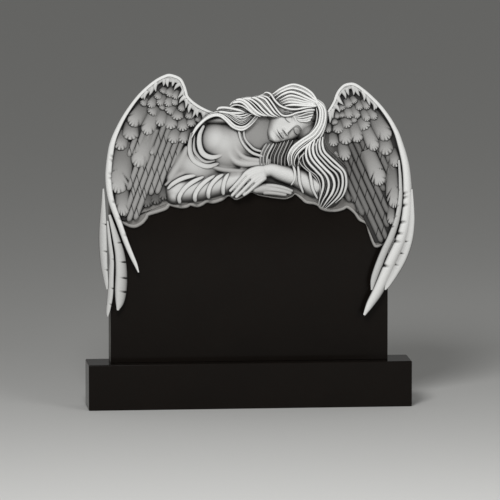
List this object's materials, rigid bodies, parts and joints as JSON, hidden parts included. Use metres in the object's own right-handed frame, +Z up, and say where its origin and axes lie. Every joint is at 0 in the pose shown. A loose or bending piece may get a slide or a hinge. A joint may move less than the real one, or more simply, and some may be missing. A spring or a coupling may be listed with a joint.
{
  "type": "headstone",
  "caption": "Dark granite headstone on a base block, its arched top carved as a resting angel with crossed arms, long hair and two tall feathered wings.",
  "frame": {"origin": "on the floor under the middle of the base block", "axes": "+X to the right and +Z up for someone who faces the carved front, +Y from the front to the back"},
  "size_m": [1.2166, 0.1712, 1.2346],
  "materials": {
    "headstone_granite": "satin",
    "base_granite": "polished"
  },
  "bodies": {
    "root": {"headstone": "headstone_granite", "base": "base_granite"}
  },
  "joints": []
}
